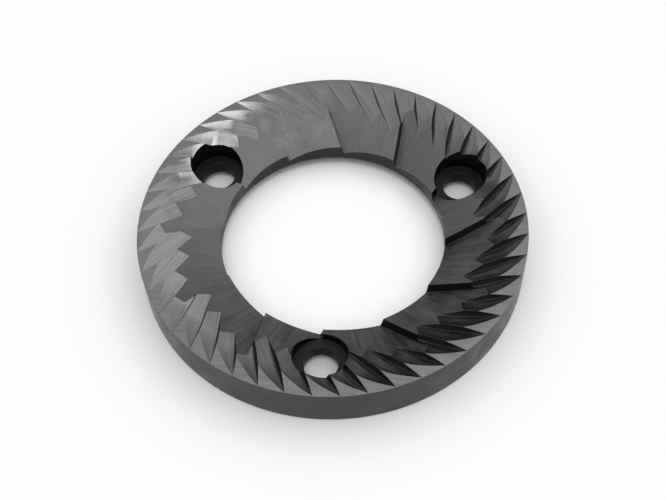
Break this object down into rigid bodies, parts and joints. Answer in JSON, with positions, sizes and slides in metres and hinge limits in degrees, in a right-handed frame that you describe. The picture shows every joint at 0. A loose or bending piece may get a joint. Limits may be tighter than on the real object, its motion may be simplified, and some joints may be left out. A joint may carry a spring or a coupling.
{
  "type": "flat grinding burr",
  "caption": "Flat ring burr for a coffee grinder, with ground spiral teeth, deep crushing pockets at the bore and counterbored screw holes.",
  "frame": {"origin": "on the ring's axis, at the plane of the back seat ring", "axes": "+Z along the ring's axis, out of the toothed face; one screw hole lies towards -Y"},
  "size_m": [0.064, 0.064, 0.0077],
  "materials": {
    "hardened_steel": "ground, satin, dark grey"
  },
  "bodies": {
    "root": {"grinding_burr": "hardened_steel"}
  },
  "joints": []
}
